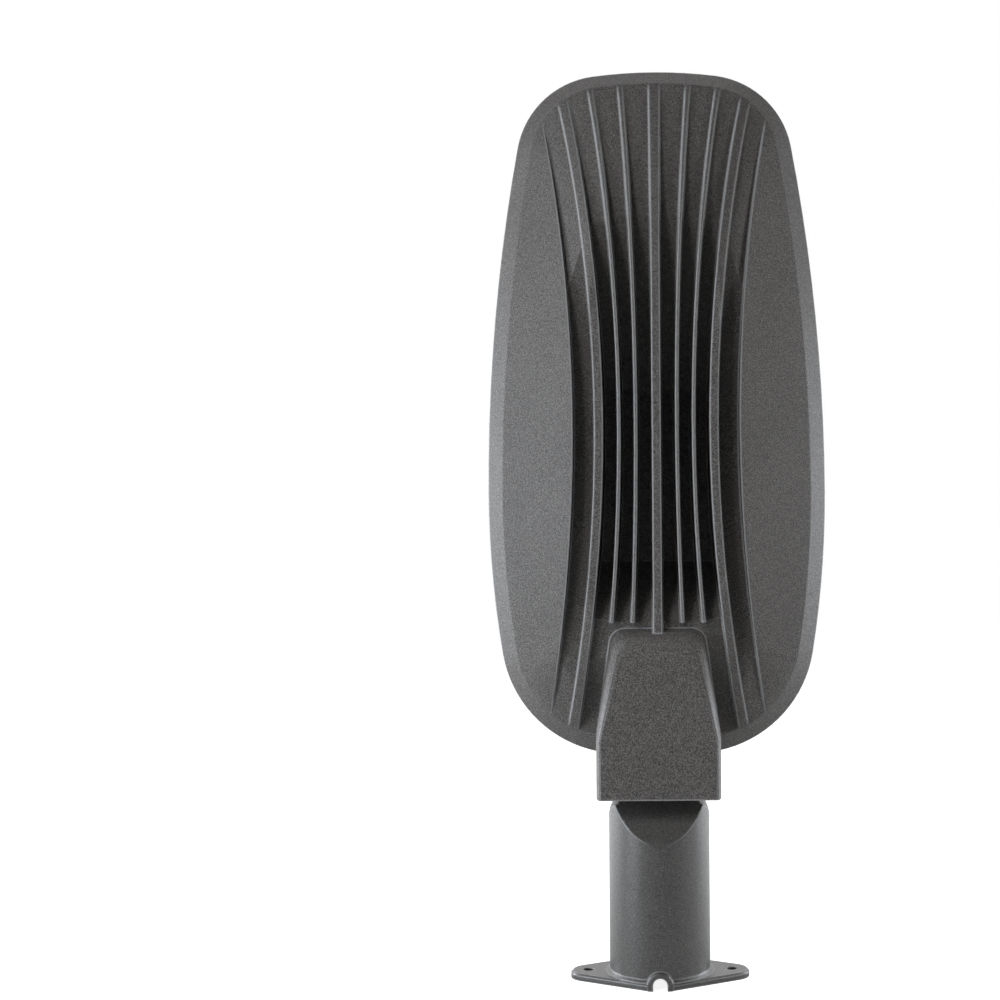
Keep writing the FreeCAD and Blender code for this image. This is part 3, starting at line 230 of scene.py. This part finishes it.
def moulded(name, dark, light, grain_mm, bump_mm, edge_mm, **values):
    """Moulded, poured or sprayed finish: nearly even colour, with a slow flow, over a fine grain.

    A mould's spark-eroded grain is some hundredths of a millimetre wide and is drawn at tenths,
    so that it shows. The dimples of hammered enamel are drawn at their real size.
    """
    flow_mm = 14
    material, tree, shader, place = new_material(name, **values)
    grain = add_node(tree, "ShaderNodeTexNoise", inputs={
        "Vector": place, "Scale": 1 / (grain_mm * MM), "Detail": 3.0}).outputs["Fac"]
    flow = add_node(tree, "ShaderNodeTexNoise", inputs={
        "Vector": place, "Scale": 1 / (flow_mm * MM), "Detail": 1.0}).outputs["Fac"]
    tone = add_node(tree, "ShaderNodeValToRGB", inputs={"Fac": flow},
                    stops=((NOISE_LOW, dark), (NOISE_HIGH, light)))
    edge = add_node(tree, "ShaderNodeBevel", {"samples": 4},
                    {"Radius": edge_mm * MM}).outputs["Normal"]
    bump = add_node(tree, "ShaderNodeBump", inputs={
        "Strength": 0.5, "Distance": bump_mm * MM, "Height": grain, "Normal": edge})
    tree.links.new(tone.outputs["Color"], shader.inputs["Base Color"])
    tree.links.new(bump.outputs["Normal"], shader.inputs["Normal"])
    return material


def cold_headed_metal(name, dark, light, rough):
    """Stainless steel or brass, cold-headed and barrel-polished: soft sheen, faint drawn lines.

    The lines that wire drawing leaves are hundredths of a millimetre apart, and are drawn at half
    a millimetre so that they show. They run along Y, as most of the screws do.
    """
    lines_mm, lines_depth_mm, stretch, swing = 0.5, 0.02, 0.08, 0.1
    material, tree, shader, place = new_material(name, Metallic=1.0)
    drawn = add_node(tree, "ShaderNodeMapping", inputs={
        "Vector": place, "Scale": (1.0, stretch, 1.0)})
    lines = add_node(tree, "ShaderNodeTexNoise", inputs={
        "Vector": drawn.outputs["Vector"], "Scale": 1 / (lines_mm * MM),
        "Detail": 3.0}).outputs["Fac"]
    tone = add_node(tree, "ShaderNodeValToRGB", inputs={"Fac": lines},
                    stops=((NOISE_LOW, dark), (NOISE_HIGH, light)))
    gloss = add_node(tree, "ShaderNodeMapRange", inputs={
        "Value": lines, "To Min": rough - swing, "To Max": rough + swing})
    bump = add_node(tree, "ShaderNodeBump", inputs={
        "Strength": 0.3, "Distance": lines_depth_mm * MM, "Height": lines})
    tree.links.new(tone.outputs["Color"], shader.inputs["Base Color"])
    tree.links.new(gloss.outputs["Result"], shader.inputs["Roughness"])
    tree.links.new(bump.outputs["Normal"], shader.inputs["Normal"])
    return material


def clear_polycarbonate():
    """Injection-moulded UV-stable polycarbonate: water clear, with slow ripples of the flow."""
    ripple_mm, ripple_depth_mm = 9, 0.05
    material, tree, shader, place = new_material(
        "clear_polycarbonate", Transmission_Weight=1.0, IOR=1.585, Base_Color=colour("f2f6f8"))
    ripple = add_node(tree, "ShaderNodeTexNoise", inputs={
        "Vector": place, "Scale": 1 / (ripple_mm * MM), "Detail": 1.0}).outputs["Fac"]
    gloss = add_node(tree, "ShaderNodeMapRange", inputs={
        "Value": ripple, "To Min": 0.02, "To Max": 0.08})
    bump = add_node(tree, "ShaderNodeBump", inputs={
        "Strength": 0.2, "Distance": ripple_depth_mm * MM, "Height": ripple})
    tree.links.new(gloss.outputs["Result"], shader.inputs["Roughness"])
    tree.links.new(bump.outputs["Normal"], shader.inputs["Normal"])
    return material


def white_solder_mask():
    """White solder mask screened over a metal-core board: its copper tracks show as low bands.

    There is one track under each column of LEDs. At a scale of 1 the wave node's phase goes up by
    20 radians per metre, so its scale is a full turn over 20 times the columns' pitch.
    """
    wave_turn, track_edge, track_rise_mm = 20, (0.90, 0.93), 0.07
    material, tree, shader, place = new_material("white_solder_mask", Roughness=0.38)
    bands = add_node(tree, "ShaderNodeTexWave", inputs={
        "Vector": place, "Scale": math.tau / (wave_turn * LENS_PITCH[0] * MM)})
    track = add_node(tree, "ShaderNodeMapRange", inputs={
        "Value": bands.outputs["Fac"], "From Min": track_edge[0], "From Max": track_edge[1]})
    tone = add_node(tree, "ShaderNodeValToRGB", inputs={"Fac": track.outputs["Result"]},
                    stops=((0.0, "d9dbd8"), (1.0, "c9ccc6")))
    bump = add_node(tree, "ShaderNodeBump", inputs={
        "Strength": 0.6, "Distance": track_rise_mm * MM, "Height": track.outputs["Result"]})
    tree.links.new(tone.outputs["Color"], shader.inputs["Base Color"])
    tree.links.new(bump.outputs["Normal"], shader.inputs["Normal"])
    return material


def world_light():
    """White surroundings, a dark studio in front for reflections, a low even light for the rest."""
    world = bpy.data.worlds.new("studio")
    bpy.context.scene.world = world
    world.use_nodes = True
    tree = world.node_tree
    tree.nodes.clear()
    path = add_node(tree, "ShaderNodeLightPath")
    way = add_node(tree, "ShaderNodeTexCoord").outputs["Generated"]
    depth = add_node(tree, "ShaderNodeSeparateXYZ", inputs={"Vector": way}).outputs["Y"]
    backdrop = add_node(tree, "ShaderNodeMapRange", inputs={
        "Value": depth, "From Min": WORLD_SPAN[0], "From Max": WORLD_SPAN[1],
        "To Min": AMBIENT, "To Max": 1.0})
    mirrored = add_node(tree, "ShaderNodeMix", inputs={
        "Factor": path.outputs["Is Glossy Ray"], "A": AMBIENT, "B": backdrop.outputs["Result"]})
    seen = add_node(tree, "ShaderNodeMath", {"operation": "MAXIMUM"}, {
        0: path.outputs["Is Camera Ray"], 1: path.outputs["Is Transmission Ray"]})
    strength = add_node(tree, "ShaderNodeMix", inputs={
        "Factor": seen.outputs["Value"], "A": mirrored.outputs[0], "B": 1.0})
    sky = add_node(tree, "ShaderNodeBackground", inputs={
        "Color": colour("ffffff"), "Strength": strength.outputs[0]})
    add_node(tree, "ShaderNodeOutputWorld", inputs={"Surface": sky.outputs["Background"]})


def studio_lights():
    """Softboxes, each with a power of its light times pi squared times distance squared."""
    for name, (azimuth, elevation, distance, width, height, light, tint) in SOFTBOXES.items():
        data = bpy.data.lights.new(name, "AREA")
        data.shape = "RECTANGLE"
        data.size, data.size_y = width, height
        data.color = colour(tint)[:3]
        data.energy = light * math.pi ** 2 * distance ** 2
        box = bpy.data.objects.new(name, data)
        round_z, up = math.radians(azimuth), math.radians(elevation)
        way = Vector((math.sin(round_z) * math.cos(up), -math.cos(round_z) * math.cos(up),
                      math.sin(up)))
        box.location = Vector(LIGHT_TARGET) + distance * way
        box.rotation_euler = (-way).to_track_quat("-Z", "Y").to_euler()
        box.visible_camera = False
        bpy.context.scene.collection.objects.link(box)


def camera():
    """Level camera in front of the ribs, the axis and the horizon where the frame has them."""
    data = bpy.data.cameras.new("camera")
    data.sensor_width = SENSOR_MM
    data.lens = FOCAL_PIXELS * SENSOR_MM / IMAGE_SIZE
    data.shift_x = (IMAGE_SIZE / 2 - AXIS_COLUMN) / IMAGE_SIZE
    data.shift_y = (HORIZON_ROW - IMAGE_SIZE / 2) / IMAGE_SIZE
    view = bpy.data.objects.new("camera", data)
    upright = Matrix.Rotation(math.pi / 2, 4, "X")
    roll = Matrix.Rotation(math.radians(CAMERA_ROLL_DEG), 4, "Z")
    stand = Matrix.Translation((0, -CAMERA_DISTANCE, CAMERA_HEIGHT))
    view.matrix_world = stand @ (upright @ roll)
    bpy.context.scene.collection.objects.link(view)
    bpy.context.scene.camera = view


def matt_paper_sweep():
    """Matt white paper sweep: shown white to the camera, with a faint shade near the flange."""
    material = bpy.data.materials.new("matt_paper_sweep")
    material.use_nodes = True
    tree = material.node_tree
    tree.nodes.clear()
    path = add_node(tree, "ShaderNodeLightPath")
    place = add_node(tree, "ShaderNodeTexCoord").outputs["Object"]
    reach = add_node(tree, "ShaderNodeVectorMath", {"operation": "LENGTH"}, {0: place})
    near = add_node(tree, "ShaderNodeMapRange", inputs={
        "Value": reach.outputs["Value"], "From Min": SHADE_SPAN[0], "From Max": SHADE_SPAN[1],
        "To Min": SHADE, "To Max": 1.0})
    depth = add_node(tree, "ShaderNodeSeparateXYZ", inputs={"Vector": place}).outputs["Y"]
    behind = add_node(tree, "ShaderNodeMapRange", inputs={
        "Value": depth, "From Min": FLOOR_SPAN[0], "From Max": FLOOR_SPAN[1],
        "To Min": AMBIENT, "To Max": 1.0})
    strength = add_node(tree, "ShaderNodeMix", inputs={
        "Factor": path.outputs["Is Glossy Ray"], "A": near.outputs["Result"],
        "B": behind.outputs["Result"]})
    paper = add_node(tree, "ShaderNodeBsdfDiffuse", inputs={"Color": colour("d8d8d6")})
    glow = add_node(tree, "ShaderNodeEmission", inputs={
        "Color": colour("ffffff"), "Strength": strength.outputs[0]})
    lit = add_node(tree, "ShaderNodeAddShader", inputs={
        0: paper.outputs["BSDF"], 1: glow.outputs["Emission"]})
    looked = add_node(tree, "ShaderNodeMath", {"operation": "MAXIMUM"}, {
        0: path.outputs["Is Camera Ray"], 1: path.outputs["Is Transmission Ray"]})
    seen = add_node(tree, "ShaderNodeMath", {"operation": "MAXIMUM"}, {
        0: looked.outputs["Value"], 1: path.outputs["Is Glossy Ray"]})
    mix = add_node(tree, "ShaderNodeMixShader", inputs={
        0: seen.outputs["Value"], 1: paper.outputs["BSDF"], 2: lit.outputs["Shader"]})
    add_node(tree, "ShaderNodeOutputMaterial", inputs={"Surface": mix.outputs["Shader"]})
    return material


def floor():
    """Pale floor under the flange."""
    corners = [(-FLOOR_REACH, -FLOOR_REACH, 0), (FLOOR_REACH, -FLOOR_REACH, 0),
               (FLOOR_REACH, FLOOR_REACH, 0), (-FLOOR_REACH, FLOOR_REACH, 0)]
    mesh = bpy.data.meshes.new("floor")
    mesh.from_pydata(corners, [], [(0, 1, 2, 3)])
    mesh.materials.append(matt_paper_sweep())
    piece = bpy.data.objects.new("floor", mesh)
    bpy.context.scene.collection.objects.link(piece)


def dress(material, *nodes):
    """Give CAD nodes their material."""
    for node in nodes:
        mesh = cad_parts[node].data
        mesh.materials.clear()
        mesh.materials.append(material)


def add_piece(name, points, materials, body, node, sharp_deg=32, second_from=None):
    """Closed piece from points of shape (copies, rows, columns, 3) in millimetres.

    Columns join end to end. Rows that shrink to a point or fold onto each other are merged, which
    closes the ends. Rows from second_from on take the second material.
    """
    copies, rows, columns = points.shape[:3]
    index = np.arange(copies * rows * columns).reshape(copies, rows, columns)
    beside = np.roll(index, -1, axis=2)
    quads = np.stack([index[:, :-1], beside[:, :-1], beside[:, 1:], index[:, 1:]], axis=-1)
    mesh = bpy.data.meshes.new(name)
    mesh.from_pydata((points.reshape(-1, 3) * MM).tolist(), [], quads.reshape(-1, 4).tolist())
    for material in materials:
        mesh.materials.append(material)
    if second_from is not None:
        level = np.broadcast_to(np.arange(rows - 1)[None, :, None], quads.shape[:3])
        second = (level >= second_from).astype(np.int32).ravel()
        mesh.polygons.foreach_set("material_index", second)
    work = bmesh.new()
    work.from_mesh(mesh)
    bmesh.ops.remove_doubles(work, verts=work.verts, dist=MERGE_DISTANCE)
    bmesh.ops.recalc_face_normals(work, faces=work.faces)
    work.to_mesh(mesh)
    work.free()
    mesh.polygons.foreach_set("use_smooth", np.ones(len(mesh.polygons), dtype=bool))
    mesh.set_sharp_from_angle(angle=math.radians(sharp_deg))
    piece = bpy.data.objects.new(name, mesh)
    bpy.context.scene.collection.objects.link(piece)
    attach(piece, body)
    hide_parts(node)


def turned(places, seat_y, stations, sides, turn=0.0, steps=48):
    """Equal turned pieces along Y, at places (x, z), from stations (radius, depth, share).

    At angle a a station reaches radius times (1 - share + share * e), where e is the edge of a
    regular polygon of unit corners, cos(pi/n) / cos((a mod 2 pi/n) - pi/n).
    """
    angle = np.arange(steps) * math.tau / steps
    sector = math.tau / sides
    edge = math.cos(sector / 2) / np.cos(angle % sector - sector / 2)
    radius, depth, share = (np.array(part)[:, None] for part in zip(*stations))
    reach = radius * (1 - share + share * edge)
    centre = np.array(places)
    shape = (len(places), len(stations), steps)
    x = centre[:, 0, None, None] + reach * np.cos(angle + turn)
    y = np.broadcast_to(seat_y + depth, shape)
    z = centre[:, 1, None, None] + reach * np.sin(angle + turn)
    return np.stack([x, y, z], axis=-1)


def hexagon_fixings(places, seat_y, size):
    """Points of hexagon-headed screws: shank, washer face, chamfered hexagon and a shallow dish.

    The stations are shares of the shank, of the width across flats and of the head's height.
    """
    shank, grip, flats, height = size
    stem = shank / 2
    washer = flats * 0.52
    corner = flats / math.sqrt(3)
    stations = [(0, -grip, 0), (stem * 0.75, -grip, 0), (stem, 0.2 * stem - grip, 0),
                (stem, 0, 0), (washer, 0, 0), (washer, height * 0.16, 0),
                (corner, height * 0.2, 1), (corner, height * 0.84, 1),
                (flats * 0.47, height, 0), (flats * 0.33, height, 0),
                (flats * 0.28, height * 0.88, 0), (0, height * 0.84, 0)]
    return turned(places, seat_y, stations, 6)


def vent_cap():
    """Points of the breathing plug: hexagon foot, round cap, a ring groove over the membrane."""
    stations = [(0, -5.5, 0), (5.6, -5.5, 0), (6.0, -5.1, 0), (6.0, 0, 0), (9.2, 0, 1),
                (9.2, 1.1, 1), (7.7, 1.4, 0), (7.2, 1.5, 0), (7.2, 2.6, 0), (6.8, 3.0, 0),
                (4.7, 3.0, 0), (4.4, 2.5, 0), (3.2, 2.5, 0), (2.9, 2.9, 0), (0, 3.0, 0)]
    return turned([VENT_PLACE], VENT_SEAT_Y, stations, 6)


def led_places():
    """Places of the LEDs, row by row."""
    x = LENS_FIRST[0] + LENS_PITCH[0] * np.arange(LENS_COUNT[0])
    z = LENS_FIRST[1] + LENS_PITCH[1] * np.arange(LENS_COUNT[1])
    return np.stack(np.meshgrid(x, z), axis=-1).reshape(-1, 2)


def led_domes():
    """Points of the LED packages: a square ceramic base of four stations, a low round dome."""
    stations = [(0, 0, 1), (2.45, 0, 1), (2.45, 0.5, 1), (2.3, 0.6, 1), (1.55, 0.6, 0),
                (1.5, 0.8, 0), (1.25, 1.02, 0), (0.75, 1.15, 0), (0, 1.2, 0)]
    return turned(led_places(), LED_SEAT_Y, stations, 4, turn=math.pi / 4, steps=24)


def plate_half_width(z):
    """Half width of the lens plate at a height: side arc, corner arc and end arc in turn.

    Each is a centre or an offset plus sqrt(radius^2 - (z - middle)^2), up to where they touch.
    """
    side_x = PLATE_HALF_WIDTH - PLATE_SIDE_R
    side = side_x + np.sqrt(PLATE_SIDE_R ** 2 - (z - PLATE_WIDEST_Z) ** 2)
    corner_x, corner_z, corner_r = PLATE_CORNER
    corner = corner_x + np.sqrt(np.maximum(corner_r ** 2 - (z - corner_z) ** 2, 0))
    end_z = PLATE_TOP_Z - PLATE_END_R
    end = np.sqrt(np.maximum(PLATE_END_R ** 2 - (z - end_z) ** 2, 0))
    return np.where(z < PLATE_CORNER_Z[0], side, np.where(z < PLATE_CORNER_Z[1], corner, end))


def lens_optics():
    """Points of the clear plate, one closed loop of columns per row, front and back.

    Across a lens u and v go from -1 to 1, and the front rises by
    rise * (1 - (u^4 + v^4)^(3/4))^0.6 * (1 - dip * exp(-(u / saddle)^2)), a rounded square with
    a saddle in its middle. The back is hollowed over each LED by a low dome,
    depth * sqrt(1 - (r / radius)^2). The first row folds the front onto the back.
    """
    half_x = LENS_PITCH[0] * LENS_COUNT[0] / 2
    foot_z = LENS_FIRST[1] - LENS_PITCH[1] / 2
    head_z = foot_z + LENS_PITCH[1] * LENS_COUNT[1]
    rows = np.concatenate([[PLATE_FOOT_Z], np.linspace(PLATE_FOOT_Z, foot_z, FOOT_ROWS)[:-1],
                           np.linspace(foot_z, head_z, LENS_COUNT[1] * CELL_STEPS + 1),
                           np.linspace(head_z, PLATE_TOP_Z, HEAD_ROWS)[1:]])[:, None]
    inner = np.linspace(-1, 1, LENS_COUNT[0] * CELL_STEPS + 1)
    width = plate_half_width(rows)
    core = np.minimum(half_x, CORE_SHARE * width)
    wing = (width - core) * np.linspace(1, 0, WING_COLUMNS)[:-1]
    x = np.concatenate([-core - wing, core * inner, core + wing[:, ::-1]], axis=1)
    z = np.broadcast_to(rows, x.shape)
    cell_x = (x + half_x) % LENS_PITCH[0] - LENS_PITCH[0] / 2
    cell_z = (z - foot_z) % LENS_PITCH[1] - LENS_PITCH[1] / 2
    inside = (np.abs(x) < half_x) & (z > foot_z) & (z < head_z)
    u, v = cell_x / LENS_HALF, cell_z / LENS_HALF
    mound = np.maximum(1 - (u ** 4 + v ** 4) ** 0.75, 0) ** 0.6
    saddle = 1 - LENS_DIP * np.exp(-(u / LENS_SADDLE) ** 2)
    radius, depth = LENS_HOLLOW
    hollow = np.sqrt(np.maximum(1 - (cell_x ** 2 + cell_z ** 2) / radius ** 2, 0))
    front = PLATE_DEPTHS[1] + np.where(inside, LENS_RISE * (mound * saddle), 0)
    back = PLATE_DEPTHS[0] + np.where(inside, depth * hollow, 0)
    back[0] = front[0]
    loop = [np.concatenate([a, b[:, ::-1]], axis=1) for a, b in ((x, x), (front, back), (z, z))]
    return np.stack(loop, axis=-1)[None]


camera()
world_light()
studio_lights()
floor()

# Castings: a sandy coat on the housing, a denser and glossier one on the sleeve, whose sides
# shine, and a smooth satin one on the frame and covers of the lens side
# The fourth colour of each coat is its lighter, cooler edge tone: part thinned coat, part painted
# highlight
housing_coat = textured_powder_coat(
    "textured_powder_coat", ("2e2c2b", "53504e", "7d7a78"), "b8babc",
    grain_mm=0.55, bump_mm=0.07, edge_mm=1.8, rough=0.55)
sleeve_coat = textured_powder_coat(
    "fine_powder_coat", ("21201f", "42403e", "666462"), "a0a1a2",
    grain_mm=0.55, bump_mm=0.07, edge_mm=1.4, rough=0.40, Specular_IOR_Level=1.0)
cover_coat = textured_powder_coat(
    "satin_powder_coat", ("464443", "53514f", "605e5d"), "8a8886",
    grain_mm=0.5, bump_mm=0.02, edge_mm=0.6, rough=0.42)
dress(housing_coat, "housing")
dress(sleeve_coat, "spigot_sleeve")
dress(cover_coat, "lens_frame", "driver_cover", "neck_cover")

# Gaskets, board and the parts inside: silicone rubber looks dull, sprayed enamel has dimples
# that glint, moulded polyamide is matt, epoxy poured over the surge protector is glassy, moulded
# nylon has a satin sheen, and steel and brass shine softly
rubber = moulded("silicone_rubber", "2c2c2c", "343434",
                 grain_mm=0.4, bump_mm=0.02, edge_mm=0.3, Roughness=0.75)
enamel = moulded("hammered_grey_enamel", "b6b7b4", "c4c5c2",
                 grain_mm=2.5, bump_mm=0.08, edge_mm=1.0, Roughness=0.35)
polyamide = moulded("cream_polyamide", "cfcbbb", "dad6c8",
                    grain_mm=0.5, bump_mm=0.02, edge_mm=0.4, Roughness=0.5)
epoxy = moulded("black_epoxy_potting", "1f1f21", "29292b",
                grain_mm=0.8, bump_mm=0.02, edge_mm=0.6, Roughness=0.3)
nylon = moulded("black_moulded_nylon", "1c1c1c", "262626",
                grain_mm=0.3, bump_mm=0.02, edge_mm=0.4, Roughness=0.48)
steel = cold_headed_metal("barrelled_stainless_steel", "8f8e8b", "b4b3b0", rough=0.32)
brass = cold_headed_metal("bright_brass", "b0904e", "cbb06c", rough=0.3)
dress(rubber, "lens_gasket", "driver_cover_gasket")
dress(white_solder_mask(), "led_board")
dress(enamel, "driver")
dress(polyamide, "terminal_block")
dress(epoxy, "surge_protector")
dress(nylon, "cable_gland", "gland_nut", "vent_plug")
dress(steel, "driver_screws", "pivot_screws", "pivot_washers")
dress(brass, "earth_screw")

# Finer pieces in the place of CAD nodes. The LEDs are matt fired ceramic with a dome of silicone
# that is cast over yellow phosphor, which light enters a little.
ceramic = moulded("white_led_ceramic", "d4d3cd", "dddcd7",
                  grain_mm=0.2, bump_mm=0.005, edge_mm=0.1, Roughness=0.45)
phosphor = moulded("phosphor_silicone", "d9bd35", "e6cd50",
                   grain_mm=0.2, bump_mm=0.005, edge_mm=0.1, Roughness=0.25,
                   Subsurface_Weight=0.3, Subsurface_Scale=0.5 * MM)
add_piece("lens_optics", lens_optics(), [clear_polycarbonate()],
          "head", "lens_plate", sharp_deg=50)
add_piece("led_domes", led_domes(), [ceramic, phosphor],
          "head", "led_packages", sharp_deg=40, second_from=4)
add_piece("vent_cap", vent_cap(), [nylon], "head", "vent_plug")
for name, (node, body, seat_y, size, places) in FIXINGS.items():
    add_piece(name, hexagon_fixings(places, seat_y, size), [steel], body, node)
bpy.context.scene.view_settings.view_transform = "Standard"
